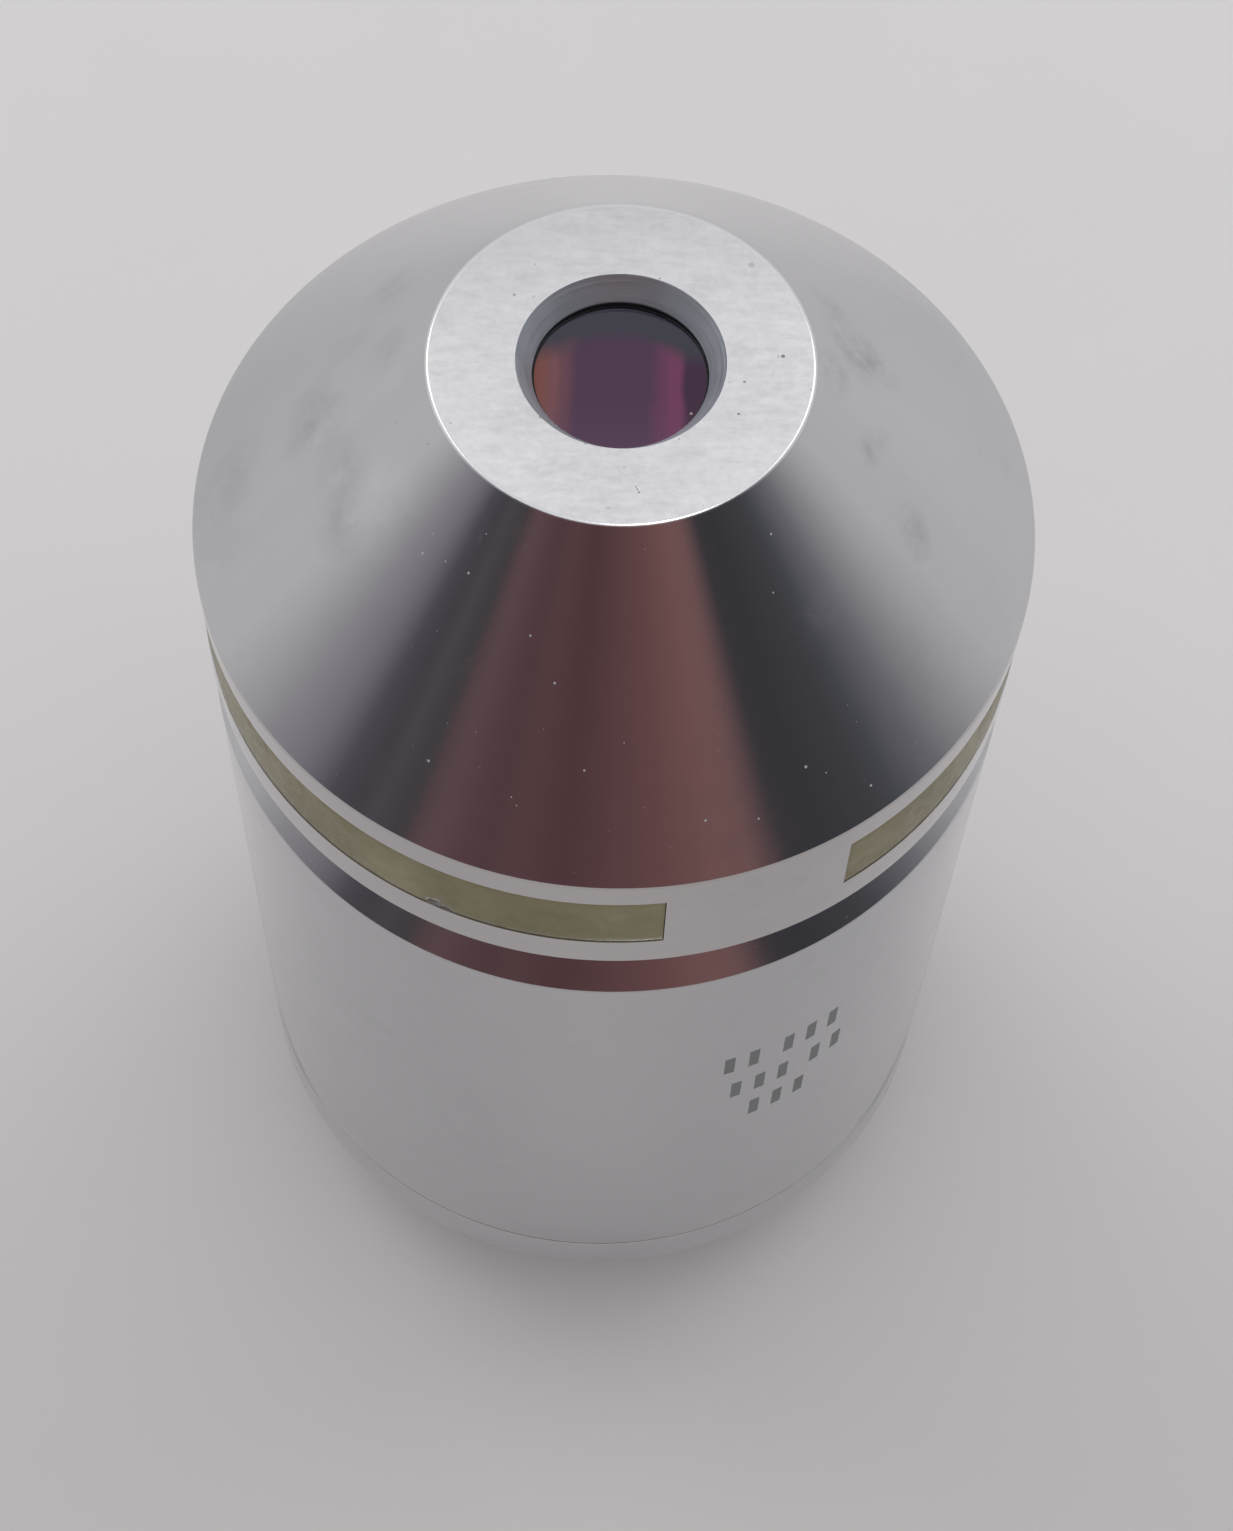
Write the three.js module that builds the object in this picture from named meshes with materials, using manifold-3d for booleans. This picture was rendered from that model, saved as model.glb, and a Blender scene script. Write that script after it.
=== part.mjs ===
// Finite-conjugate microscope objective lens, also used as a laser collimating lens.
// Units: millimetres. +Z points from the threaded rear end to the conical nose.
// Origin: centre of the rear end face of the mounting thread. The front (-Y) side
// faces the viewer; the colour band's gap is just right of the front.
//
// The optical stack (two cemented doublets, a stop and a spacer) sits in an inner
// sleeve. The sleeve's flange rests on a shim on a ledge in the barrel and a
// slotted ring locks it. The conical nose screws into the barrel over a washer.

import * as THREE from 'three';
import { mergeVertices } from 'three/addons/utils/BufferGeometryUtils.js';
import Module from 'manifold-3d';

// ---------------------------------------------------------------- dimensions
const N_OUT = 60;             // segments round the outside pieces
const N_IN = 36;              // segments round the inner pieces

const R_BODY = 12.0;          // barrel and colour band cylinder radius
const Z_TOTAL = 42.8;         // rear end face to front face

// rear mount: RMS thread, 20.32 mm x 36 threads per inch
const R_THREAD = 10.16;       // thread major radius
const Z_THREAD = 4.0;         // end of full thread
const R_RELIEF = 9.5;         // thread relief groove
const Z_SHOULDER = 4.5;       // mounting shoulder face
const R_SHOULDER = 10.35;     // inside of the shoulder's contact ring
const UNDERCUT = 0.06;        // the shoulder is cleared inside the contact ring
const Z_FLANGE = 6.5;         // top of the mount's flange, barrel seats here
const R_MOUNT_SPIGOT = 10.4;  // screws into the barrel's rear
const Z_MOUNT_SPIGOT = 10.5;
const R_MOUNT_BORE = 8.6;

// barrel
const R_REAR_BORE = 10.46;    // takes the mount's spigot
const Z_REAR_BORE = 10.7;
const R_SLEEVE_BORE = 7.9;    // clears the inner sleeve
const Z_LEDGE = 22.0;         // ledge the shim and sleeve flange sit on
const R_FRONT_BORE = 9.82;    // front thread bore
const Z_BARREL_TOP = 29.65;   // bottom of the V-groove, barrel side
const R_VROOT = 10.93;        // root radius of the V-groove
const Z_V_LOW = 28.62;        // lower lip of the V-groove
const Z_V_HIGH = 30.84;       // upper lip of the V-groove

// nose
const R_NOSE_SPIGOT = 9.75;   // M19.5 x 0.5 thread, screws into the barrel
const R_NOSE_RELIEF = 9.35;
const Z_NOSE_BOTTOM = 26.0;
const Z_NOSE_RELIEF = 29.4;
const Z_NOSE_SEAT = 29.95;    // shoulder on the washer
const Z_CONE = 35.5;          // cone base edge
const EDGE = 0.14;            // broken edge at the cone base
const R_FACE = 5.14;          // flat front face
const R_CSK = 2.80;           // countersink mouth
const R_HOLE = 2.36;          // front hole
const Z_CSK = 42.15;          // countersink bottom
const Z_WALL = 42.10;         // inside of the nose's front wall
const R_NOSE_BORE_S = 4.4;    // small bore over the front cell
const Z_NOSE_STEP = 37.8;
const R_NOSE_BORE_L = 7.9;    // large bore over the sleeve

// colour band: enamel in a shallow groove, open over a gap
const Z_BAND_LOW = 32.1;
const Z_BAND_HIGH = 34.54;
const R_BAND_FLOOR = 11.7;
const BAND_SKIN = 0.02;       // enamel lies this far under the metal
const BAND_GAP_FROM = -81.2;  // degrees from +X
const BAND_GAP_TO = -55.3;
const BAND_CLEAR = 0.03;

// inner sleeve
const R_SLEEVE = 7.6;
const R_SLEEVE_IN = 6.6;
const Z_SLEEVE_LOW = 10.0;
const Z_SLEEVE_HIGH = 36.6;
const R_SLEEVE_FLANGE = 9.5;
const SHIM = 0.3;
const SLEEVE_FLANGE = 1.5;
const LOCK_RING = 1.8;

// cells and glass
const R_STACK = 6.5;          // cells, spacer and stop slide in the sleeve
const Z_FRONT_CELL = 42.05;   // front rim of the front cell
const R_FRONT_CELL = 4.15;
const R_FRONT_LIP = 2.42;
const R_FRONT_GLASS = 3.4;
const R_FRONT_BOSS = 2.36;     // the glass is stepped and stands in the cell's lip
const Z_FRONT_SEAT = 41.84;
const Z_FRONT_GLASS = 42.04;
const Z_SPACER_HIGH = 34.6;
const Z_STOP_HIGH = 20.6;
const Z_STOP_LOW = 20.0;
const R_STOP = 3.6;
const R_REAR_GLASS = 5.5;
const Z_REAR_GLASS = 19.4;
const Z_REAR_CELL_LOW = 14.4;
const Z_STACK_RING_LOW = 12.6;
const CEMENT = 0.05;

// rear baffle
const R_BAFFLE_FLANGE = 8.52;
const R_BAFFLE = 6.9;
const R_BAFFLE_IN = 6.2;
const Z_BAFFLE_LOW = 1.2;
const Z_BAFFLE_FLANGE = 3.2;
const Z_BAFFLE_HIGH = 9.6;

// ---------------------------------------------------------------- materials
const chrome = { color: 0xc8c8cc, metalness: 1.0, roughness: 0.16 };
const brass = { color: 0xb08d4a, metalness: 1.0, roughness: 0.35 };
const black = { color: 0x141416, metalness: 0.3, roughness: 0.6 };
const paintBlack = { color: 0x0c0c0d, metalness: 0.0, roughness: 0.9 };
const enamel = { color: 0x8f8650, metalness: 0.0, roughness: 0.35 };
const crownGlass = { color: 0xbfd0d8, metalness: 0.0, roughness: 0.03 };
const coatedGlass = { color: 0x5a2f52, metalness: 0.0, roughness: 0.03 };

const wasm = await Module();
wasm.setup();

// ---------------------------------------------------------------- helpers
// A solid of revolution about Z. The profile is a closed loop of [r, z] points.
function turned(profile, segments) {
  let area = 0;
  for (let i = 0; i < profile.length; i++) {
    const [r0, z0] = profile[i];
    const [r1, z1] = profile[(i + 1) % profile.length];
    area += r0 * z1 - r1 * z0;
  }
  const loop = area > 0 ? profile.slice() : profile.slice().reverse();
  const first = loop.findIndex(([r]) => r === 0);
  let points;
  if (first >= 0) {
    // starts and ends on the axis
    let start = first;
    if (loop[(first + 1) % loop.length][0] === 0) start = (first + 1) % loop.length;
    points = loop.map((_, i) => loop[(start + i) % loop.length]);
  } else {
    points = [...loop, loop[0]];
  }
  const g = new THREE.LatheGeometry(points.map(([r, z]) => new THREE.Vector2(r, z)), segments);
  g.rotateX(Math.PI / 2);
  return tidy(g);
}

function tidy(g) {
  g.deleteAttribute('normal');
  g.deleteAttribute('uv');
  const m = mergeVertices(g, 1e-5);
  // drop triangles that have no area, as a lathe has at its axis
  const index = [];
  const src = m.index.array;
  for (let i = 0; i < src.length; i += 3) {
    const [a, b, c] = [src[i], src[i + 1], src[i + 2]];
    if (a !== b && b !== c && a !== c) index.push(a, b, c);
  }
  m.setIndex(index);
  return m;
}

function toSolid(g) {
  return new wasm.Manifold(new wasm.Mesh({
    numProp: 3,
    vertProperties: new Float32Array(g.attributes.position.array),
    triVerts: new Uint32Array(g.index.array),
  }));
}

function toGeometry(solid) {
  const mesh = solid.getMesh();
  const g = new THREE.BufferGeometry();
  const stride = mesh.numProp;
  const count = mesh.vertProperties.length / stride;
  const xyz = new Float32Array(count * 3);
  for (let i = 0; i < count; i++) {
    for (let k = 0; k < 3; k++) xyz[3 * i + k] = mesh.vertProperties[i * stride + k];
  }
  g.setAttribute('position', new THREE.BufferAttribute(xyz, 3));
  g.setIndex(Array.from(mesh.triVerts));
  return g;
}

function cut(g, ...tools) {
  let solid = toSolid(g);
  for (const t of tools) solid = solid.subtract(toSolid(tidy(t)));
  return toGeometry(solid);
}

// Part of a flat ring between two angles (degrees), standing from z0 to z1.
function sector(rIn, rOut, fromDeg, toDeg, z0, z1, curveSegments) {
  const a0 = THREE.MathUtils.degToRad(fromDeg);
  const a1 = THREE.MathUtils.degToRad(toDeg);
  const shape = new THREE.Shape();
  shape.absarc(0, 0, rOut, a0, a1, false);
  shape.absarc(0, 0, rIn, a1, a0, true);
  shape.closePath();
  const g = new THREE.ExtrudeGeometry(shape, { depth: z1 - z0, bevelEnabled: false, curveSegments });
  g.translate(0, 0, z0);
  return g;
}

// A box cutter across a ring, for spanner slots.
function slotBox(width, length, z0, z1, angleDeg) {
  const g = new THREE.BoxGeometry(length, width, z1 - z0);
  g.translate(0, 0, (z0 + z1) / 2);
  g.rotateZ(THREE.MathUtils.degToRad(angleDeg));
  return g;
}

// Points of a spherical surface from the axis outwards: vertex at z, sag of the
// given sign, out to radius r.
function dome(z, radius, r, sign, steps = 6) {
  const out = [];
  for (let i = 0; i <= steps; i++) {
    const x = (r * i) / steps;
    out.push([x, z + sign * (radius - Math.sqrt(radius * radius - x * x))]);
  }
  return out;
}

const objective = new THREE.Group();
objective.name = 'microscope_objective';

function add(name, geometry, look) {
  const mesh = new THREE.Mesh(geometry, new THREE.MeshStandardMaterial({ ...look }));
  mesh.name = name;
  objective.add(mesh);
  return mesh;
}

// ---------------------------------------------------------------- rear mount
add('thread_mount', turned([
  [R_MOUNT_BORE, 0.2], [R_MOUNT_BORE + 0.2, 0],
  [R_THREAD - 0.4, 0], [R_THREAD, 0.4],
  [R_THREAD, Z_THREAD], [R_RELIEF, Z_THREAD + 0.1],
  [R_RELIEF, Z_SHOULDER + UNDERCUT], [R_SHOULDER, Z_SHOULDER + UNDERCUT],
  [R_SHOULDER, Z_SHOULDER], [R_BODY - 0.15, Z_SHOULDER], [R_BODY, Z_SHOULDER + 0.15],
  [R_BODY, Z_FLANGE], [R_MOUNT_SPIGOT, Z_FLANGE],
  [R_MOUNT_SPIGOT, Z_MOUNT_SPIGOT - 0.3], [R_MOUNT_SPIGOT - 0.3, Z_MOUNT_SPIGOT],
  [R_MOUNT_BORE, Z_MOUNT_SPIGOT],
], N_OUT), chrome);

// ---------------------------------------------------------------- barrel
add('barrel', turned([
  [R_BODY, Z_FLANGE], [R_BODY, Z_V_LOW], [R_VROOT, Z_BARREL_TOP],
  [R_FRONT_BORE, Z_BARREL_TOP], [R_FRONT_BORE, Z_LEDGE],
  [R_SLEEVE_BORE, Z_LEDGE], [R_SLEEVE_BORE, Z_REAR_BORE],
  [R_REAR_BORE, Z_REAR_BORE], [R_REAR_BORE, Z_FLANGE],
], N_OUT), chrome);

// ---------------------------------------------------------------- nose
const noseBlank = turned([
  [R_NOSE_BORE_L, Z_NOSE_BOTTOM], [R_NOSE_SPIGOT - 0.25, Z_NOSE_BOTTOM],
  [R_NOSE_SPIGOT, Z_NOSE_BOTTOM + 0.25], [R_NOSE_SPIGOT, Z_NOSE_RELIEF],
  [R_NOSE_RELIEF, Z_NOSE_RELIEF + 0.1], [R_NOSE_RELIEF, Z_NOSE_SEAT],
  [R_VROOT, Z_NOSE_SEAT], [R_BODY, Z_V_HIGH],
  [R_BODY, Z_CONE - EDGE], [R_BODY - 0.06, Z_CONE - 0.03], [R_BODY - 0.2, Z_CONE + 0.11],
  [R_FACE + 0.03, Z_TOTAL - 0.045], [R_FACE - 0.03, Z_TOTAL],
  [R_CSK, Z_TOTAL], [R_HOLE, Z_CSK], [R_HOLE, Z_WALL],
  [R_NOSE_BORE_S, Z_WALL], [R_NOSE_BORE_S, Z_NOSE_STEP],
  [R_NOSE_BORE_L, Z_NOSE_STEP],
], N_OUT);
const bandCutter = sector(
  R_BAND_FLOOR, R_BODY + 1.5, BAND_GAP_TO, BAND_GAP_FROM + 360,
  Z_BAND_LOW, Z_BAND_HIGH, 28,
);
add('nose_jacket', cut(noseBlank, bandCutter), chrome);

const skin = (BAND_CLEAR / R_BODY) * 180 / Math.PI;
add('colour_band', tidy(sector(
  R_BAND_FLOOR + BAND_CLEAR, R_BODY - BAND_SKIN, BAND_GAP_TO + skin, BAND_GAP_FROM + 360 - skin,
  Z_BAND_LOW + BAND_CLEAR, Z_BAND_HIGH - BAND_CLEAR, 28,
)), enamel);

add('nose_seat_washer', turned([
  [R_NOSE_RELIEF + 0.08, Z_BARREL_TOP], [R_VROOT - 0.1, Z_BARREL_TOP],
  [R_VROOT - 0.1, Z_NOSE_SEAT], [R_NOSE_RELIEF + 0.08, Z_NOSE_SEAT],
], N_OUT), brass);

// ---------------------------------------------------------------- inner sleeve
const Z_FLANGE_LOW = Z_LEDGE + SHIM;
const Z_FLANGE_HIGH = Z_FLANGE_LOW + SLEEVE_FLANGE;
add('parfocal_shim', turned([
  [R_SLEEVE_BORE + 0.1, Z_LEDGE], [R_SLEEVE_FLANGE, Z_LEDGE],
  [R_SLEEVE_FLANGE, Z_FLANGE_LOW], [R_SLEEVE_BORE + 0.1, Z_FLANGE_LOW],
], N_IN), brass);

add('lens_sleeve', turned([
  [R_SLEEVE_IN, Z_SLEEVE_LOW], [R_SLEEVE, Z_SLEEVE_LOW],
  [R_SLEEVE, Z_FLANGE_LOW], [R_SLEEVE_FLANGE, Z_FLANGE_LOW],
  [R_SLEEVE_FLANGE, Z_FLANGE_HIGH], [R_SLEEVE, Z_FLANGE_HIGH],
  [R_SLEEVE, Z_SLEEVE_HIGH], [R_SLEEVE_IN, Z_SLEEVE_HIGH],
], N_IN), brass);

add('sleeve_lock_ring', cut(turned([
  [R_SLEEVE + 0.1, Z_FLANGE_HIGH], [R_NOSE_SPIGOT - 0.05, Z_FLANGE_HIGH],
  [R_NOSE_SPIGOT - 0.05, Z_FLANGE_HIGH + LOCK_RING], [R_SLEEVE + 0.1, Z_FLANGE_HIGH + LOCK_RING],
], N_IN), slotBox(1.2, 24, Z_FLANGE_HIGH + LOCK_RING - 0.8, Z_FLANGE_HIGH + LOCK_RING + 0.5, 0)), brass);

// ---------------------------------------------------------------- front cell
const Z_CELL_FLANGE = Z_SLEEVE_HIGH + 0.9;
add('front_lens_cell', turned([
  [3.5, Z_SPACER_HIGH + 1.6], [5.4, Z_SPACER_HIGH], [R_STACK, Z_SPACER_HIGH],
  [R_STACK, Z_SLEEVE_HIGH], [R_SLEEVE - 0.05, Z_SLEEVE_HIGH],
  [R_SLEEVE - 0.05, Z_CELL_FLANGE], [R_FRONT_CELL, Z_CELL_FLANGE],
  [R_FRONT_CELL, Z_FRONT_CELL - 0.15], [R_FRONT_CELL - 0.15, Z_FRONT_CELL],
  [R_FRONT_LIP + 0.03, Z_FRONT_CELL], [R_FRONT_LIP, Z_FRONT_CELL - 0.03],
  [R_FRONT_LIP, Z_FRONT_SEAT + 0.03],
  [R_FRONT_GLASS + 0.1, Z_FRONT_SEAT + 0.03],
], N_IN), black);

// Front doublet: the flint's flat side faces out, stepped for the lip; the crown is behind it.
const zf1 = Z_FRONT_GLASS - 0.8;
add('front_flint', turned([
  ...dome(zf1, 6.5, R_FRONT_GLASS, -1),
  [R_FRONT_GLASS, Z_FRONT_SEAT], [R_FRONT_BOSS, Z_FRONT_SEAT],
  [R_FRONT_BOSS, Z_FRONT_GLASS], [0, Z_FRONT_GLASS],
], N_IN), coatedGlass);
add('front_crown', turned([
  ...dome(zf1 - CEMENT - 2.05, 8.0, R_FRONT_GLASS, 1),
  ...dome(zf1 - CEMENT, 6.5, R_FRONT_GLASS, -1).reverse(),
], N_IN), crownGlass);
add('front_retaining_ring', cut(turned([
  [2.7, 38.4], [3.44, 38.4], [3.44, 39.4], [2.7, 39.4],
], N_IN), slotBox(0.7, 12, 37.9, 38.8, 90)), black);

// ---------------------------------------------------------------- spacer and stop
add('spacer_tube', turned([
  [5.4, Z_STOP_HIGH], [R_STACK, Z_STOP_HIGH], [R_STACK, Z_SPACER_HIGH], [5.4, Z_SPACER_HIGH],
], N_IN), paintBlack);
add('aperture_stop', turned([
  [R_STOP, Z_STOP_HIGH - 0.1], [R_STOP + 0.5, Z_STOP_LOW], [R_STACK, Z_STOP_LOW],
  [R_STACK, Z_STOP_HIGH], [R_STOP, Z_STOP_HIGH],
], N_IN), paintBlack);

// ---------------------------------------------------------------- rear cell
add('rear_lens_cell', turned([
  [R_REAR_GLASS + 0.08, Z_REAR_CELL_LOW], [R_STACK, Z_REAR_CELL_LOW], [R_STACK, Z_STOP_LOW],
  [4.6, Z_STOP_LOW], [4.6, Z_REAR_GLASS + 0.08], [R_REAR_GLASS + 0.08, Z_REAR_GLASS + 0.08],
], N_IN), black);
const zr1 = Z_REAR_GLASS - 0.9;
add('rear_flint', turned([
  ...dome(zr1, 10, R_REAR_GLASS, -1),
  [R_REAR_GLASS, Z_REAR_GLASS], [0, Z_REAR_GLASS],
], N_IN), crownGlass);
add('rear_crown', turned([
  ...dome(zr1 - CEMENT - 3.05, 14, R_REAR_GLASS, 1),
  ...dome(zr1 - CEMENT, 10, R_REAR_GLASS, -1).reverse(),
], N_IN), crownGlass);
add('rear_retaining_ring', cut(turned([
  [4.7, 14.9], [5.5, 14.9], [5.5, 16.1], [4.7, 16.1],
], N_IN), slotBox(0.9, 16, 14.4, 15.4, 0)), black);
add('stack_lock_ring', cut(turned([
  [5.2, Z_STACK_RING_LOW], [R_STACK + 0.04, Z_STACK_RING_LOW],
  [R_STACK + 0.04, Z_REAR_CELL_LOW], [5.2, Z_REAR_CELL_LOW],
], N_IN), slotBox(1.0, 18, Z_STACK_RING_LOW - 0.5, Z_STACK_RING_LOW + 0.7, 90)), black);

// ---------------------------------------------------------------- rear baffle
add('rear_baffle', cut(turned([
  [R_BAFFLE_IN, Z_BAFFLE_LOW], [R_BAFFLE_FLANGE, Z_BAFFLE_LOW],
  [R_BAFFLE_FLANGE, Z_BAFFLE_FLANGE], [R_BAFFLE, Z_BAFFLE_FLANGE],
  [R_BAFFLE, Z_BAFFLE_HIGH], [R_BAFFLE_IN, Z_BAFFLE_HIGH],
], N_IN), slotBox(1.4, 24, Z_BAFFLE_LOW - 0.5, Z_BAFFLE_LOW + 0.7, 0)), paintBlack);

export default objective;
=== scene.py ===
import math
import random
import bpy
import bmesh
from mathutils import Matrix, Vector


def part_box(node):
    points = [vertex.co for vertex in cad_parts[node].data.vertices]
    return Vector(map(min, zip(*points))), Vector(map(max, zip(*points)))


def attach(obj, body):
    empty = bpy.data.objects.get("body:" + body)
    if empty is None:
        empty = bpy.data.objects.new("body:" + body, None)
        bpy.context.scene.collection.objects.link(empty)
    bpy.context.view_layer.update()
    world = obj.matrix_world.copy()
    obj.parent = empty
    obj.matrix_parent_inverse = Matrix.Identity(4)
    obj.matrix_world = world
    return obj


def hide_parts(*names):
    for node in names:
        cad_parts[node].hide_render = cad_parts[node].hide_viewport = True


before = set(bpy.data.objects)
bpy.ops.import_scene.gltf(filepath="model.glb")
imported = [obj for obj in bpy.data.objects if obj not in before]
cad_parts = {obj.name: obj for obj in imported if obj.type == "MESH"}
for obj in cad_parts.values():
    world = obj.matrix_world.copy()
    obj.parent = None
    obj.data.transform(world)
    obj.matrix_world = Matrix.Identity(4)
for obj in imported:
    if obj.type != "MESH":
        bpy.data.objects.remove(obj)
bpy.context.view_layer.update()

MM = 0.001
scene = bpy.context.scene
scene.view_settings.view_transform = "Standard"
scene.view_settings.look = "None"

# ------------------------------------------------------------------ dimensions
# All in millimetres, read from model.glb where a CAD node states them.
_nose_lo, _nose_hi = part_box("nose_jacket")
_mount_lo, _mount_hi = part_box("thread_mount")
_barrel_lo, _barrel_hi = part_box("barrel")
_washer_lo, _washer_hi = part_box("nose_seat_washer")
_band_lo, _band_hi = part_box("colour_band")
R_BODY = 12.0
Z_TOP = _nose_hi.z / MM                 # 42.8
Z_CONE = Z_TOP - 7.3                    # 35.5
Z_BAND0, Z_BAND1 = 32.1, 34.54
Z_BARREL0 = _barrel_lo.z / MM           # 6.5
Z_BARREL1 = _barrel_hi.z / MM           # 29.65
Z_V_LOW, Z_V_HIGH = 28.62, 30.84
R_FACE, R_CSK, R_HOLE = 5.14, 2.80, 2.36
Z_CSK, Z_WALL = 42.15, 42.10
Z_CELL, R_LIP, Z_SEAT_G, Z_GLASS = 42.05, 2.42, 41.84, 42.04
R_VROOT = 10.93
GAP = (-81.2, -55.3)                    # degrees from +X


# ------------------------------------------------------------------ mesh code
def rounded(points, closed=True, steps=5):
    """Profile points (r, z) or (r, z, fillet radius) to a fine profile with its corners rounded."""
    out = []
    n = len(points)
    for i, p in enumerate(points):
        r, z = p[0], p[1]
        rad = p[2] if len(p) > 2 else 0.0
        flag = p[3] if len(p) > 3 else None
        if rad <= 0 or (not closed and i in (0, n - 1)):
            out.append((r, z, flag))
            continue
        a = Vector(points[i - 1][:2]) - Vector((r, z))
        b = Vector(points[(i + 1) % n][:2]) - Vector((r, z))
        la, lb = a.length, b.length
        a.normalize()
        b.normalize()
        ang = math.acos(max(-1, min(1, a.dot(b))))
        if ang > math.pi - 1e-3:
            out.append((r, z, flag))
            continue
        t = min(rad / math.tan(ang / 2), la * 0.48, lb * 0.48)
        rr = t * math.tan(ang / 2)
        mid = (a + b).normalized()
        c = Vector((r, z)) + mid * (rr / math.sin(ang / 2))
        s = Vector((r, z)) + a * t - c
        e = Vector((r, z)) + b * t - c
        a0 = math.atan2(s.y, s.x)
        a1 = math.atan2(e.y, e.x)
        d = (a1 - a0 + math.pi) % (2 * math.pi) - math.pi
        for k in range(steps + 1):
            w = a0 + d * k / steps
            out.append((c.x + rr * math.cos(w), c.y + rr * math.sin(w), flag))
    return out


def subdivide_profile(profile, longest):
    """Adds points so that no straight stretch of a closed profile is longer than `longest` mm."""
    out = []
    n = len(profile)
    for i in range(n):
        p, q = profile[i], profile[(i + 1) % n]
        out.append(p)
        d = math.hypot(q[0] - p[0], q[1] - p[1])
        k = int(d // longest)
        for s in range(1, k + 1):
            t = s / (k + 1)
            if t < 1:
                out.append((p[0] + (q[0] - p[0]) * t, p[1] + (q[1] - p[1]) * t, p[2] if p[2] == q[2] else None))
    return out


def link(mesh, name):
    obj = bpy.data.objects.new(name, mesh)
    scene.collection.objects.link(obj)
    return obj


def finish_mesh(mesh, sharp_deg=28):
    bm = bmesh.new()
    bm.from_mesh(mesh)
    bmesh.ops.remove_doubles(bm, verts=bm.verts, dist=1e-8)
    bmesh.ops.dissolve_degenerate(bm, edges=bm.edges, dist=1e-9)
    bmesh.ops.recalc_face_normals(bm, faces=bm.faces)
    bm.to_mesh(mesh)
    bm.free()
    mesh.shade_smooth()
    mesh.set_sharp_from_angle(angle=math.radians(sharp_deg))


def lathe(name, profile, segments=256, radius=None, extra_angles=(), sharp_deg=28):
    """A turned piece. profile is a closed loop of (r, z[, flag]) in mm; points on the axis merge.
    radius(r, z, flag, angle) may change the radius, for threads and arcs."""
    angles = [2 * math.pi * k / segments for k in range(segments)]
    angles = sorted(set(angles) | {a % (2 * math.pi) for a in extra_angles})
    verts, faces = [], []
    n, m = len(profile), len(angles)
    for p in profile:
        r, z = p[0], p[1]
        flag = p[2] if len(p) > 2 else None
        for a in angles:
            rr = radius(r, z, flag, a) if radius else r
            verts.append((rr * math.cos(a) * MM, rr * math.sin(a) * MM, z * MM))
    for i in range(n):
        k = (i + 1) % n
        if profile[i][0] == 0 and profile[k][0] == 0:
            continue
        for j in range(m):
            l = (j + 1) % m
            faces.append((i * m + j, i * m + l, k * m + l, k * m + j))
    mesh = bpy.data.meshes.new(name)
    mesh.from_pydata(verts, [], faces)
    finish_mesh(mesh, sharp_deg)
    return link(mesh, name)


def cut_slots(obj, boxes):
    """Cuts box slots (length, width, z0, z1, degrees) in mm across a turned piece."""
    for length, width, z0, z1, deg in boxes:
        bm = bmesh.new()
        bmesh.ops.create_cube(bm, size=1)
        bmesh.ops.scale(bm, vec=(length * MM, width * MM, (z1 - z0) * MM), verts=bm.verts)
        bmesh.ops.translate(bm, vec=(0, 0, (z0 + z1) / 2 * MM), verts=bm.verts)
        bmesh.ops.rotate(bm, cent=(0, 0, 0), matrix=Matrix.Rotation(math.radians(deg), 3, "Z"), verts=bm.verts)
        mesh = bpy.data.meshes.new("cutter")
        bm.to_mesh(mesh)
        bm.free()
        cutter = link(mesh, "cutter")
        mod = obj.modifiers.new("slot", "BOOLEAN")
        mod.operation = "DIFFERENCE"
        mod.solver = "EXACT"
        mod.object = cutter
        dg = bpy.context.evaluated_depsgraph_get()
        new = bpy.data.meshes.new_from_object(obj.evaluated_get(dg))
        obj.modifiers.clear()
        old = obj.data
        new.name = old.name
        obj.data = new
        bpy.data.objects.remove(cutter)
        bpy.data.meshes.remove(old)
        obj.data.shade_smooth()
        obj.data.set_sharp_from_angle(angle=math.radians(28))


# ------------------------------------------------------------------ materials
def material(name):
    m = bpy.data.materials.new(name)
    m.use_nodes = True
    nt = m.node_tree
    nt.nodes.clear()
    out = nt.nodes.new("ShaderNodeOutputMaterial")
    bsdf = nt.nodes.new("ShaderNodeBsdfPrincipled")
    nt.links.new(bsdf.outputs["BSDF"], out.inputs["Surface"])
    return m, nt, bsdf


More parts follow.
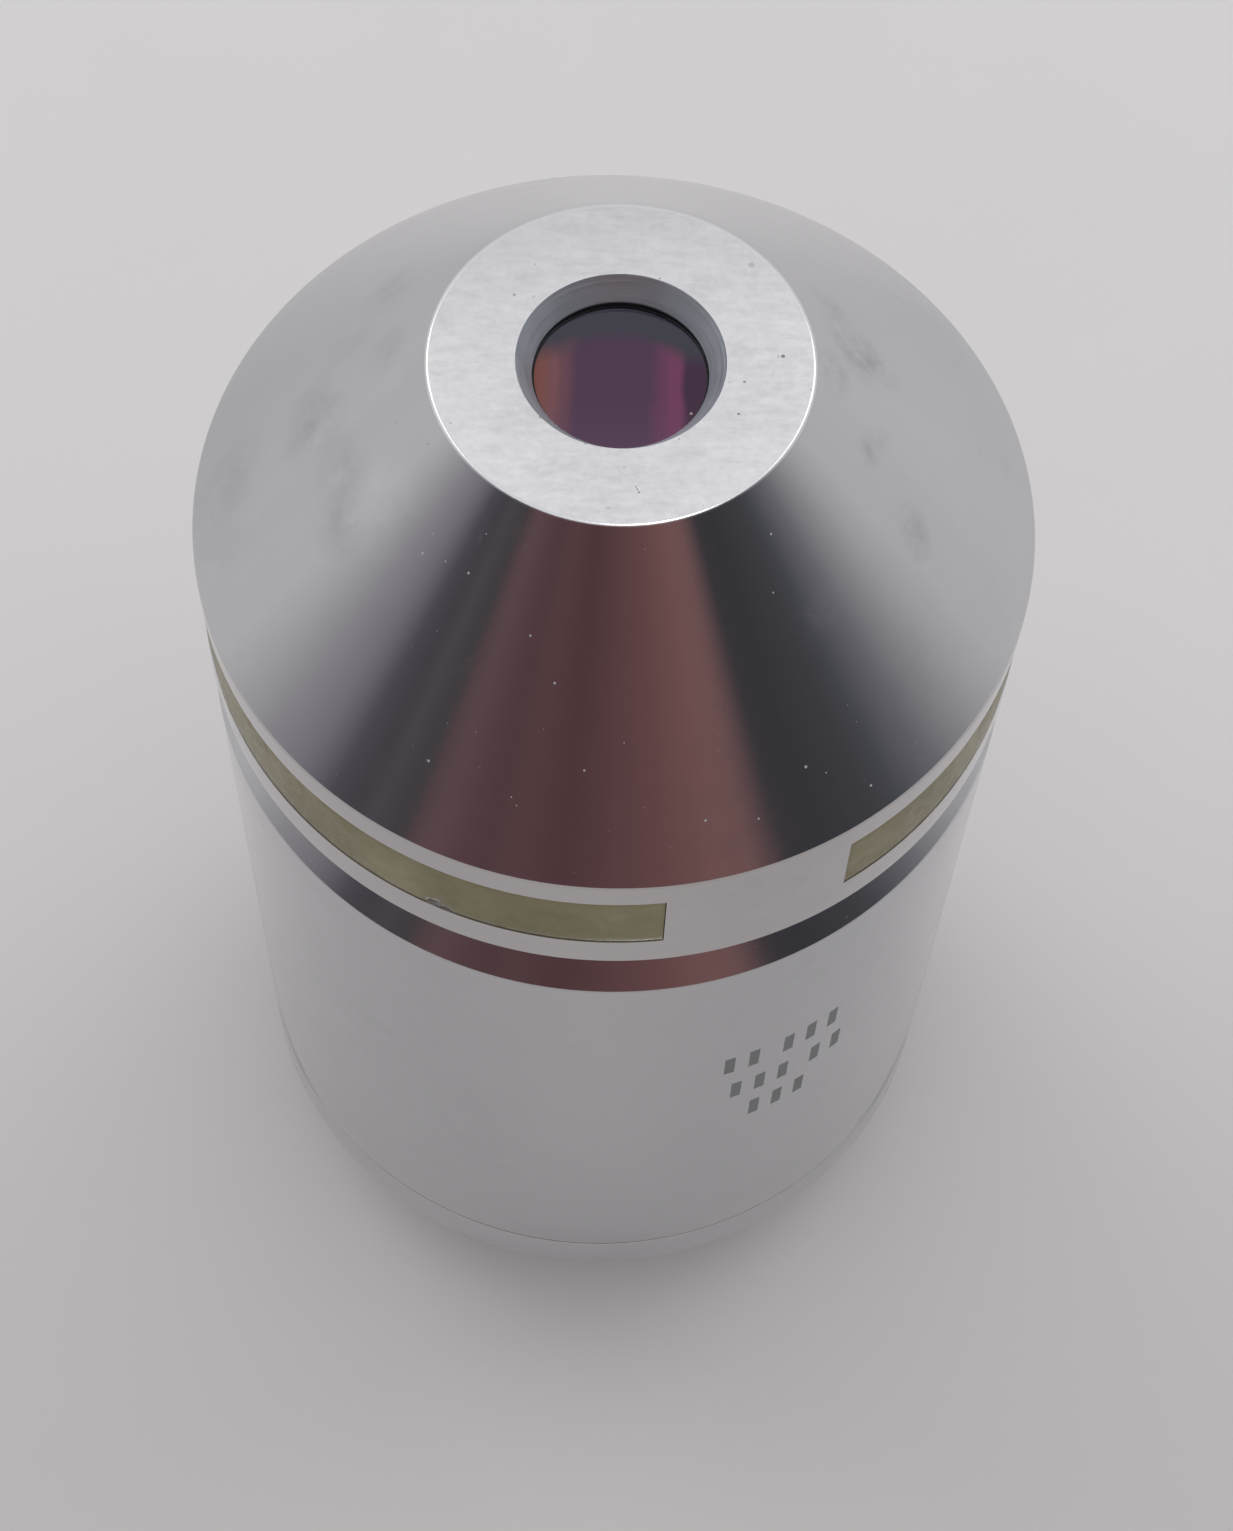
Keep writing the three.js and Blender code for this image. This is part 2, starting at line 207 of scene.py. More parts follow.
class Nodes:
    """Short hands for building a node tree."""

    def __init__(self, nt):
        self.nt = nt
        self.coord = nt.nodes.new("ShaderNodeTexCoord")

    def link(self, a, b):
        self.nt.links.new(a, b)

    def mapped(self, scale=(1, 1, 1), rotation=(0, 0, 0), location=(0, 0, 0)):
        n = self.nt.nodes.new("ShaderNodeMapping")
        n.inputs["Scale"].default_value = scale
        n.inputs["Rotation"].default_value = rotation
        n.inputs["Location"].default_value = location
        self.link(self.coord.outputs["Object"], n.inputs["Vector"])
        return n.outputs["Vector"]

    def noise(self, vector, scale, detail=4.0, rough=0.55, distortion=0.0):
        n = self.nt.nodes.new("ShaderNodeTexNoise")
        n.inputs["Scale"].default_value = scale
        n.inputs["Detail"].default_value = detail
        n.inputs["Roughness"].default_value = rough
        n.inputs["Distortion"].default_value = distortion
        self.link(vector, n.inputs["Vector"])
        return n.outputs["Fac"]

    def voronoi(self, vector, scale, feature="F1", randomness=1.0):
        n = self.nt.nodes.new("ShaderNodeTexVoronoi")
        n.feature = feature
        n.inputs["Scale"].default_value = scale
        n.inputs["Randomness"].default_value = randomness
        self.link(vector, n.inputs["Vector"])
        return n.outputs

    def ramp(self, fac, stops, interpolation="LINEAR"):
        n = self.nt.nodes.new("ShaderNodeValToRGB")
        n.color_ramp.interpolation = interpolation
        els = n.color_ramp.elements
        while len(els) > 1:
            els.remove(els[-1])
        for i, (pos, col) in enumerate(stops):
            if not hasattr(col, "__len__"):
                col = (col, col, col)
            e = els[0] if i == 0 else els.new(pos)
            e.position = pos
            e.color = (*col[:3], 1)
        self.link(fac, n.inputs["Fac"])
        return n.outputs["Color"]

    def math(self, op, a, b=None, clamp=False):
        n = self.nt.nodes.new("ShaderNodeMath")
        n.operation = op
        n.use_clamp = clamp
        for k, v in enumerate((a, b)):
            if v is None:
                continue
            if isinstance(v, (int, float)):
                n.inputs[k].default_value = v
            else:
                self.link(v, n.inputs[k])
        return n.outputs["Value"]

    def remap(self, v, a, b, c=0.0, d=1.0):
        n = self.nt.nodes.new("ShaderNodeMapRange")
        n.inputs["From Min"].default_value = a
        n.inputs["From Max"].default_value = b
        n.inputs["To Min"].default_value = c
        n.inputs["To Max"].default_value = d
        self.link(v, n.inputs["Value"])
        return n.outputs["Result"]

    def mix(self, fac, a, b):
        n = self.nt.nodes.new("ShaderNodeMix")
        n.data_type = "RGBA"
        for sock, v in ((n.inputs[0], fac), (n.inputs[6], a), (n.inputs[7], b)):
            if isinstance(v, (int, float)):
                sock.default_value = v
            elif hasattr(v, "__len__"):
                sock.default_value = (*v[:3], 1)
            else:
                self.link(v, sock)
        return n.outputs[2]

    def bump(self, height, strength, distance, normal=None):
        n = self.nt.nodes.new("ShaderNodeBump")
        n.inputs["Strength"].default_value = strength
        n.inputs["Distance"].default_value = distance
        self.link(height, n.inputs["Height"])
        if normal is not None:
            self.link(normal, n.inputs["Normal"])
        return n.outputs["Normal"]

    def xyz(self):
        n = self.nt.nodes.new("ShaderNodeSeparateXYZ")
        self.link(self.coord.outputs["Object"], n.inputs["Vector"])
        return n.outputs

    def cylinder_coords(self):
        """Vector (angle in radians, height, radius) with height and radius in metres: lines along z or round the axis
        stay even.
        """
        x, y, z = self.xyz()
        ang = self.math("ARCTAN2", y, x)
        rad = self.math("SQRT", self.math("ADD", self.math("MULTIPLY", x, x), self.math("MULTIPLY", y, y)))
        c = self.nt.nodes.new("ShaderNodeCombineXYZ")
        self.link(ang, c.inputs[0])
        self.link(z, c.inputs[1])
        self.link(rad, c.inputs[2])
        return c.outputs["Vector"], ang, rad, z


def chrome_material(name, tint=(0.69, 0.69, 0.705), rough=0.09, haze=0.10, dust=True, seed=0.0, turning=0.0, marks=(),
                    painted_shade_and_ripple=0.0):
    """Bright chrome plating with handling haze, smudges, fine scratches and dust.
    marks are finger marks in mm: (x, y, z, size, darker or lighter). The last argument sets a painted shade that
    darkens the far side a little."""
    m, nt, bsdf = material(name)
    n = Nodes(nt)
    bsdf.inputs["Metallic"].default_value = 1.0
    loc = (seed, seed * 0.7, seed * 1.3)
    big = n.noise(n.mapped(location=loc), 95, 5, 0.62, 0.4)          # smudges about 10 mm across
    fine = n.noise(n.mapped(location=loc), 900, 6, 0.7)               # mottle about 1 mm
    big2 = n.noise(n.mapped(location=(seed + 5, 2, 1)), 700, 4, 0.6)
    smudge = n.remap(big, 0.46, 0.72)
    mottle = n.remap(fine, 0.42, 0.75)
    veil = n.math("MULTIPLY", smudge, mottle, clamp=True)
    # hair scratches in two directions
    s1 = n.noise(n.mapped(scale=(60, 2600, 900), rotation=(0.3, 0.5, 0.4), location=loc), 1.0, 3, 0.6)
    s2 = n.noise(n.mapped(scale=(2300, 70, 1200), rotation=(0.9, 0.2, 1.1), location=loc), 1.0, 3, 0.6)
    scratch = n.math("MAXIMUM", n.remap(s1, 0.66, 0.74), n.remap(s2, 0.67, 0.75))
    scratch = n.math("MULTIPLY", scratch, 0.35, clamp=True)
    r = n.math("ADD", n.math("MULTIPLY", veil, haze), rough)
    r = n.math("ADD", r, n.math("MULTIPLY", scratch, 0.25), clamp=True)
    dirt = tuple(c * 0.90 for c in tint)
    light = tuple(min(1, c * 1.06) for c in tint)
    col = n.mix(veil, tint, dirt)
    col = n.mix(n.remap(fine, 0.6, 0.85, 0, 0.5), col, light)
    # Painted shade: the colour darkens towards the far side (+y, leaning to -x), by the amount given.
    if painted_shade_and_ripple:
        x, y, z = n.xyz()
        side = n.math("SUBTRACT", y, n.math("MULTIPLY", x, 0.2))
        side = n.math("ADD", side, n.math("MULTIPLY", n.math("SUBTRACT", big, 0.5), 0.006))
        col = n.mix(n.math("MULTIPLY", n.remap(side, -0.0012, 0.0045), painted_shade_and_ripple), col, tuple(c * 0.5 for c in tint))
    for k, (mx, my, mz, size, depth) in enumerate(marks):
        d = nt.nodes.new("ShaderNodeVectorMath")
        d.operation = "DISTANCE"
        n.link(n.coord.outputs["Object"], d.inputs[0])
        d.inputs[1].default_value = (mx * MM, my * MM, mz * MM)
        near = n.remap(d.outputs["Value"], size * MM, size * 0.2 * MM)
        near = n.math("MULTIPLY", near, n.remap(fine if size < 1.3 else big2, 0.36, 0.62), clamp=True)
        near = n.math("MULTIPLY", near, abs(depth), clamp=True)
        col = n.mix(near, col, (0.30, 0.30, 0.31) if depth > 0 else (0.95, 0.95, 0.96))
        r = n.math("ADD", r, n.math("MULTIPLY", near, 0.35), clamp=True)
    metal = None
    if dust:
        v = n.voronoi(n.mapped(location=loc), 1450)                   # cells about 0.7 mm
        spot = n.math("LESS_THAN", v["Distance"], n.remap(n.noise(n.mapped(location=loc), 1500, 2), 0.34, 0.72, 0.0, 0.078))
        pick = n.math("GREATER_THAN", n.noise(n.mapped(location=(seed + 3, 1, 2)), 240, 2), 0.45)
        spot = n.math("MULTIPLY", spot, pick)
        v2 = n.voronoi(n.mapped(location=(seed + 9, 4, 4)), 3000)     # finer dust
        spot2 = n.math("LESS_THAN", v2["Distance"], n.remap(n.noise(n.mapped(location=loc), 800, 2), 0.46, 0.78, 0.0, 0.08))
        spot = n.math("MAXIMUM", spot, n.math("MULTIPLY", spot2, 0.55))
        col = n.mix(spot, col, (0.36, 0.36, 0.37))
        r = n.math("ADD", r, n.math("MULTIPLY", spot, 0.5), clamp=True)
        metal = n.math("SUBTRACT", 1.0, spot)
        n.link(metal, bsdf.inputs["Metallic"])
    n.link(col, bsdf.inputs["Base Color"])
    n.link(r, bsdf.inputs["Roughness"])
    h = n.math("ADD", n.math("MULTIPLY", fine, 0.25), n.math("MULTIPLY", scratch, -0.6))
    if turning:
        vec, ang, rad, z = n.cylinder_coords()
        mp = nt.nodes.new("ShaderNodeMapping")
        mp.inputs["Scale"].default_value = (1.2, 16000, 16000)
        n.link(vec, mp.inputs["Vector"])
        lines = n.noise(mp.outputs["Vector"], 1.0, 3, 0.5)
        h = n.math("ADD", h, n.math("MULTIPLY", lines, turning))
    n.link(n.bump(h, 0.12, 0.00002), bsdf.inputs["Normal"])
    return m


def lapped_material(name, pits=()):
    """The lapped front face: satin metal with a fine diagonal lay, a soft grey grain and small pits (x, y, size in mm,
    depth), with painted shade that darkens it towards the far side.
    """
    m, nt, bsdf = material(name)
    n = Nodes(nt)
    bsdf.inputs["Metallic"].default_value = 1.0
    lay = n.noise(n.mapped(scale=(1500, 6000, 900), rotation=(0, 0, math.radians(-22))), 1.0, 5, 0.62)
    lay2 = n.noise(n.mapped(scale=(1100, 3600, 500), rotation=(0, 0, math.radians(24))), 1.0, 4, 0.6)
    grain = n.noise(n.mapped(), 5200, 5, 0.7)
    cloud = n.noise(n.mapped(), 620, 5, 0.62, 0.3)
    speck = n.noise(n.mapped(location=(3, 5, 1)), 2300, 4, 0.65)
    tone = n.math("ADD", n.math("MULTIPLY", lay, 0.28), n.math("MULTIPLY", lay2, 0.16))
    tone = n.math("ADD", tone, n.math("MULTIPLY", cloud, 0.20))
    tone = n.math("ADD", tone, n.math("MULTIPLY", speck, 0.14))
    tone = n.math("ADD", tone, n.math("MULTIPLY", grain, 0.22))
    col = n.ramp(tone, [(0.40, (0.685, 0.67, 0.675)), (0.5, (0.77, 0.758, 0.765)), (0.60, (0.845, 0.833, 0.842))])
    x, y, z = n.xyz()
    # Painted shade: the face darkens towards the far side (+y, leaning to -x).
    far = n.math("ADD", n.math("SUBTRACT", y, n.math("MULTIPLY", x, 0.25)), n.math("MULTIPLY", n.math("SUBTRACT", cloud, 0.5), 0.002))
    col = n.mix(n.remap(far, 0.0004, 0.0046, 0.0, 0.22), col, (0.40, 0.39, 0.395))
    hole = None
    warp = n.math("MULTIPLY", n.math("SUBTRACT", n.noise(n.mapped(), 9000, 2), 0.5), 0.00009)
    for px, py, size, depth in pits:
        d = nt.nodes.new("ShaderNodeVectorMath")
        d.operation = "DISTANCE"
        n.link(n.coord.outputs["Object"], d.inputs[0])
        d.inputs[1].default_value = (px * MM, py * MM, Z_TOP * MM)
        w = n.remap(n.math("ADD", d.outputs["Value"], warp), size * MM, size * 0.45 * MM, 0.0, depth)
        hole = w if hole is None else n.math("MAXIMUM", hole, w)
    col = n.mix(n.math("MULTIPLY", hole, 0.85), col, (0.10, 0.095, 0.095))
    n.link(col, bsdf.inputs["Base Color"])
    r = n.math("ADD", n.math("MULTIPLY", grain, 0.14), 0.26)
    r = n.math("ADD", r, n.math("MULTIPLY", hole, 0.4), clamp=True)
    n.link(r, bsdf.inputs["Roughness"])
    h = n.math("ADD", n.math("MULTIPLY", lay, 0.4), n.math("MULTIPLY", grain, 0.3))
    h = n.math("SUBTRACT", h, n.math("MULTIPLY", hole, 1.5))
    n.link(n.bump(h, 0.30, 0.00002), bsdf.inputs["Normal"])
    return m


def turned_metal(name, base, rough, ring=9000, strength=0.3, dark=0.85, metallic=1.0):
    """Turned metal: fine rings round the axis and a little uneven tone."""
    m, nt, bsdf = material(name)
    n = Nodes(nt)
    bsdf.inputs["Metallic"].default_value = metallic
    vec, ang, rad, z = n.cylinder_coords()
    mp = nt.nodes.new("ShaderNodeMapping")
    mp.inputs["Scale"].default_value = (0.8, ring, ring)
    n.link(vec, mp.inputs["Vector"])
    lines = n.noise(mp.outputs["Vector"], 1.0, 4, 0.6)
    cloud = n.noise(n.mapped(), 300, 4, 0.6)
    tone = n.math("ADD", n.math("MULTIPLY", lines, 0.5), n.math("MULTIPLY", cloud, 0.5))
    lo = tuple(c * dark for c in base)
    hi = tuple(min(1, c * (2 - dark)) for c in base)
    n.link(n.ramp(tone, [(0.35, lo), (0.65, hi)]), bsdf.inputs["Base Color"])
    n.link(n.remap(tone, 0.3, 0.7, rough * 0.8, rough * 1.25), bsdf.inputs["Roughness"])
    n.link(n.bump(lines, strength, 0.00002), bsdf.inputs["Normal"])
    return m


def enamel_material(name):
    """Olive-yellow enamel, a little uneven and worn, with a chip mask in the attribute 'chip'."""
    m, nt, bsdf = material(name)
    n = Nodes(nt)
    cloud = n.noise(n.mapped(), 330, 5, 0.6, 0.4)
    speck = n.noise(n.mapped(location=(1, 2, 3)), 2600, 4, 0.7)
    col = n.ramp(cloud, [(0.33, (0.158, 0.134, 0.062)), (0.52, (0.196, 0.168, 0.086)), (0.7, (0.245, 0.212, 0.120))])
    col = n.mix(n.remap(speck, 0.62, 0.8, 0, 0.6), col, (0.16, 0.13, 0.06))
    attr = nt.nodes.new("ShaderNodeAttribute")
    attr.attribute_name = "chip"
    chip = attr.outputs["Fac"]
    col = n.mix(chip, col, (0.62, 0.61, 0.57))
    n.link(col, bsdf.inputs["Base Color"])
    n.link(n.math("MULTIPLY", chip, 0.8), bsdf.inputs["Metallic"])
    n.link(n.remap(speck, 0.3, 0.8, 0.26, 0.5), bsdf.inputs["Roughness"])
    h = n.math("ADD", n.math("MULTIPLY", cloud, 0.6), n.math("MULTIPLY", speck, 0.4))
    n.link(n.bump(h, 0.35, 0.00006), bsdf.inputs["Normal"])
    bsdf.inputs["Specular IOR Level"].default_value = 0.36
    return m


def black_material(name, base=(0.016, 0.016, 0.018), rough=0.42, rings=7000, strength=0.35):
    return turned_metal(name, base, rough, rings, strength, 0.7, metallic=0.0)


def painted_reflection_lens_material(name, centre, left, right, far, rough=0.035, edge=0.95):
    """A polished lens with an anti-reflection coating over a dark barrel, drawn as a dark tinted mirror. The coating's
    weak coloured
    reflection is painted into its colour: the hue changes across the lens, the front is painted lighter and the back
    darker, with dust and faint polish rings."""
    m, nt, bsdf = material(name)
    n = Nodes(nt)
    bsdf.inputs["Metallic"].default_value = 1.0
    x, y, z = n.xyz()
    # Painted reflection: hue zones across the lens, orange on the left, purple in the middle, magenta and then dark on
    # the right.
    across = n.remap(x, -0.0023, 0.0023)
    warp = n.noise(n.mapped(), 420, 3, 0.5)
    across = n.math("ADD", across, n.math("MULTIPLY", n.math("SUBTRACT", warp, 0.5), 0.16))
    deep = tuple(c * 0.72 for c in centre)
    col = n.ramp(across, [(0.0, (left[0], left[1] * 0.85, left[2] * 0.6)), (0.05, (left[0] * 1.05, left[1] * 0.95, left[2] * 0.78)),
                          (0.12, left), (0.19, tuple((a + b) / 2 for a, b in zip(left, centre))), (0.26, centre), (0.64, centre),
                          (0.75, tuple((a * 0.6 + b * 0.4) for a, b in zip(right, centre))), (0.81, right),
                          (0.85, right), (0.91, deep), (1.0, deep)], "EASE")
    back = n.math("ADD", y, n.math("MULTIPLY", n.math("SUBTRACT", warp, 0.5), 0.0016))
    back = n.math("ADD", back, n.math("MULTIPLY", n.math("MULTIPLY", x, x), 95.0))
    # Painted reflection: the front of the lens is painted lighter.
    col = n.mix(n.remap(y, -0.0008, -0.0022, 0.0, 0.35), col, tuple(min(1, c * 1.5) for c in centre))
    # Painted reflection: the back of the lens is painted in the dark far colour.
    col = n.mix(n.remap(back, edge * MM, (edge + 0.55) * MM), col, far)
    v = n.voronoi(n.mapped(location=(4, 4, 0)), 1500)
    pick = n.math("GREATER_THAN", n.noise(n.mapped(location=(7, 1, 2)), 900, 2), 0.6)
    spot = n.math("MULTIPLY", n.math("LESS_THAN", v["Distance"], 0.06), pick)
    col = n.mix(spot, col, (0.35, 0.32, 0.30))
    n.link(col, bsdf.inputs["Base Color"])
    n.link(n.math("ADD", n.math("MULTIPLY", spot, 0.4), rough), bsdf.inputs["Roughness"])
    painted_shade_and_ripple = n.noise(n.mapped(), 1500, 3, 0.5)
    n.link(n.bump(painted_shade_and_ripple, 0.05, 0.00001), bsdf.inputs["Normal"])
    return m


def glass_material(name, tint=(0.86, 0.93, 0.95)):
    m, nt, bsdf = material(name)
    n = Nodes(nt)
    cloud = n.noise(n.mapped(), 500, 3, 0.5)
    n.link(n.ramp(cloud, [(0.3, tuple(c * 0.96 for c in tint)), (0.7, tint)]), bsdf.inputs["Base Color"])
    n.link(n.remap(cloud, 0.3, 0.7, 0.01, 0.03), bsdf.inputs["Roughness"])
    bsdf.inputs["Transmission Weight"].default_value = 1.0
    bsdf.inputs["IOR"].default_value = 1.55
    return m


# The nose's chrome gets painted shade that darkens its far side (amount 0.30).
MAT_CHROME_NOSE = chrome_material("chrome_nose", (0.62, 0.62, 0.635), rough=0.085, haze=0.16, seed=0.0, painted_shade_and_ripple=0.30, marks=(
    (-8.27, 0.04, 39.46, 1.7, 0.36), (-7.38, -2.15, 40.08, 1.3, 0.3), (-7.36, -3.39, 39.64, 1.2, 0.26),
    (-10.67, -0.42, 36.90, 1.6, 0.2), (-6.25, 3.86, 40.46, 1.5, 0.34), (-6.33, 0.95, 41.45, 1, 0.28),
    (-7.54, 1.94, 39.98, 1.3, 0.18), (5.71, 3.0, 41.40, 1, 0.34), (5.96, 1.81, 41.64, 0.9, 0.4),
    (6.58, 1.51, 41.09, 1.2, 0.44), (7.01, 1.81, 40.56, 1.1, 0.36), (5.64, 0.34, 42.26, 1, 0.38),
    (6.74, -1.22, 40.96, 0.6, 0.44), (7.16, -0.74, 40.61, 0.4, 0.4), (8.03, -2.5, 39.30, 0.7, 0.3),
    (8.2, -2.86, 39.02, 0.7, 0.34), (-6.12, -3.57, 40.71, 1.6, -0.22), (5.21, -6.07, 39.76, 0.9, -0.16),
    (5.78, -5.52, 39.76, 0.8, -0.16)))
MAT_CHROME_BAND = chrome_material("chrome_band", (0.605, 0.585, 0.588), rough=0.11, haze=0.12, seed=0.9)
MAT_CHROME_BARREL = chrome_material("chrome_barrel", (0.595, 0.595, 0.61), rough=0.12, haze=0.10, seed=1.7, turning=0.2)
MAT_CHROME_MOUNT = chrome_material("chrome_mount", (0.62, 0.62, 0.635), rough=0.13, haze=0.10, dust=False, seed=3.1, turning=0.3)
MAT_LAPPED = lapped_material("lapped_face", pits=(
    (-2.917, 1.953, 0.06, 0.6), (3.396, 3.271, 0.11, 0.35), (4.261, 0.327, 0.075, 0.85), (4.147, 0.329, 0.045, 0.6),
    (4.038, -0.192, 0.05, 0.25), (3.256, -0.542, 0.05, 0.8), (2.88, -0.561, 0.045, 0.4), (3.125, -1.55, 0.05, 0.95),
    (0.562, -4.039, 0.05, 0.9), (0.52, -3.955, 0.035, 0.7), (0.604, -4.115, 0.035, 0.8), (0.191, -3.368, 0.05, 0.35),
    (-4.364, -2.236, 0.045, 0.5), (-4.518, -2.40, 0.06, 0.9), (5.04, -0.685, 0.05, 0.8), (-2.405, 1.921, 0.05, 0.4),
    (0.942, 2.702, 0.04, 0.7), (-0.828, -2.68, 0.045, 0.7), (-2.056, -1.93, 0.04, 0.7), (1.585, -2.42, 0.04, 0.5),
    (-0.159, -4.635, 0.08, 0.25), (-0.417, -4.741, 0.045, 0.25), (-2.422, 2.99, 0.035, 0.4), (2.26, -4.437, 0.04, 0.3)))
MAT_EDGE = turned_metal("bare_edge", (0.80, 0.80, 0.81), 0.20, 9000, 0.15, 0.96)
MAT_CSK = turned_metal("countersink_satin", (0.535, 0.57, 0.61), 0.55, 14000, 0.4)
MAT_INSIDE = turned_metal("nose_inside", (0.34, 0.33, 0.32), 0.42, 9000, 0.4)
MAT_ENAMEL = enamel_material("band_enamel")
MAT_BRASS = turned_metal("turned_brass", (0.66, 0.50, 0.25), 0.28, 9000, 0.3)
MAT_ANOD = black_material("black_anodised", (0.020, 0.020, 0.023), 0.34)
MAT_PAINT = black_material("matt_black_paint", (0.010, 0.010, 0.011), 0.72, 2500, 0.25)
# Both lenses get painted reflection: coloured zones across them, lighter in front and darker behind.
MAT_LENS = painted_reflection_lens_material("front_lens_painted_reflection", (0.103, 0.059, 0.096), (0.215, 0.098, 0.108),
                                (0.20, 0.067, 0.127), (0.072, 0.070, 0.088), edge=0.84)
MAT_GROUND = turned_metal("ground_glass_edge", (0.115, 0.115, 0.13), 0.6, 12000, 0.3, 0.8, metallic=0.0)
MAT_REAR_LENS = painted_reflection_lens_material("rear_lens_painted_reflection", (0.075, 0.055, 0.14), (0.09, 0.05, 0.12),
                                     (0.06, 0.07, 0.15), (0.05, 0.05, 0.09), edge=3.0)
MAT_GLASS = glass_material("lens_glass")
MAT_FILL = turned_metal("mark_fill", (0.16, 0.16, 0.165), 0.5, 5000, 0.2, 0.8, metallic=0.0)


def give(obj, *mats):
    obj.data.materials.clear()
    for m in mats:
        obj.data.materials.append(m)


def assign_faces(obj, index, test):
    """Gives a material slot to the faces whose centre (r, z in mm) passes the test."""
    for p in obj.data.polygons:
        c = p.center / MM
        if test(math.hypot(c.x, c.y), c.z, p.normal):
            p.material_index = index


# ------------------------------------------------------------------ nose
def in_gap(a):
    deg = math.degrees(a)
    deg = (deg + 180) % 360 - 180
    return GAP[0] < deg < GAP[1]


EDGE_DEG = 0.03
gap_angles = [math.radians(d) for d in (GAP[0] - EDGE_DEG, GAP[0] + EDGE_DEG, GAP[1] - EDGE_DEG, GAP[1] + EDGE_DEG)]
FLOOR = 11.80
PITCH_N = 0.5
NOSE_SPIGOT, NOSE_BOTTOM, NOSE_RELIEF_Z, SEAT = 9.75, 26.0, 29.4, 29.95

nose_profile = rounded([
    (7.9, NOSE_BOTTOM, 0.1), (9.45, NOSE_BOTTOM, 0.05), (9.72, 26.27, 0.05), (9.72, NOSE_RELIEF_Z, 0.02),
    (9.35, 29.5, 0.05), (9.35, SEAT, 0.05), (R_VROOT, SEAT, 0.04), (R_BODY, Z_V_HIGH, 0.10),
    (R_BODY, Z_BAND0 - 0.006, 0.0), (R_BODY, Z_BAND0, 0.0, "band"), (R_BODY, Z_BAND1, 0.0, "band"), (R_BODY, Z_BAND1 + 0.006, 0.0),
    (R_BODY, Z_CONE, 0.22), (R_FACE, Z_TOP, 0.15),
    (R_CSK, Z_TOP, 0.03), (R_HOLE, Z_CSK, 0.035), (R_HOLE, Z_WALL, 0.01), (4.4, Z_WALL, 0.02), (4.4, 37.8, 0.05), (7.9, 37.8, 0.05),
], steps=6)


def thread_radius(major, depth, pitch, z0, z1, runout=0.35, hand=1):
    """Radius of a single-start right-hand helical thread between z0 and z1."""
    def f(z, a):
        w = min(1.0, max(0.0, (z - z0) / runout)) * min(1.0, max(0.0, (z1 - z) / runout))
        ph = (z / pitch - hand * a / (2 * math.pi)) % 1.0
        t = abs(ph - 0.5) * 2               # 0 at the crest, 1 at the root
        t = min(1.0, max(0.0, (t - 0.12) / 0.76))
        t = t * t * (3 - 2 * t) * 0.35 + t * 0.65
        return major - depth * t * w
    return f


def with_rows(profile, r_at, z0, z1, step):
    """Puts rows every `step` mm into the straight stretch of a profile at radius r_at."""
    out = []
    n = len(profile)
    for i in range(n):
        p, q = profile[i], profile[(i + 1) % n]
        out.append(p)
        if abs(p[0] - r_at) < 1e-6 and abs(q[0] - r_at) < 1e-6 and abs(q[1] - p[1]) > 1:
            k = int(abs(q[1] - p[1]) / step)
            for s in range(1, k):
                out.append((r_at, p[1] + (q[1] - p[1]) * s / k, "thread"))
    return out


nose_profile = with_rows(nose_profile, 9.72, NOSE_BOTTOM, NOSE_RELIEF_Z, PITCH_N / 12)
nose_thread = thread_radius(9.74, 0.28, PITCH_N, 26.2, 29.4, 0.3)


def nose_radius(r, z, flag, a):
    if flag == "band":
        return R_BODY if in_gap(a) else FLOOR
    if flag == "thread":
        return nose_thread(z, a)
    return r


nose = lathe("nose_shell", subdivide_profile(nose_profile, 1.2), 288, nose_radius, gap_angles, 26)
give(nose, MAT_CHROME_NOSE, MAT_LAPPED, MAT_CSK, MAT_INSIDE, MAT_EDGE, MAT_CHROME_BAND)
assign_faces(nose, 1, lambda r, z, nn: z > Z_TOP - 0.002 and R_CSK < r < R_FACE - 0.06)
assign_faces(nose, 4, lambda r, z, nn: z > Z_TOP - 0.075 and r > R_FACE - 0.075)
assign_faces(nose, 5, lambda r, z, nn: r > R_BODY - 0.06 and Z_V_HIGH - 0.05 < z < Z_CONE + 0.02)
assign_faces(nose, 2, lambda r, z, nn: r < R_CSK + 0.04 and Z_WALL + 0.01 < z < Z_TOP - 0.001)
assign_faces(nose, 3, lambda r, z, nn: z < Z_WALL + 0.01 and r < 9.0 and (z < 37.9 or r < 4.5))
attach(nose, "nose")
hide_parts("nose_jacket")


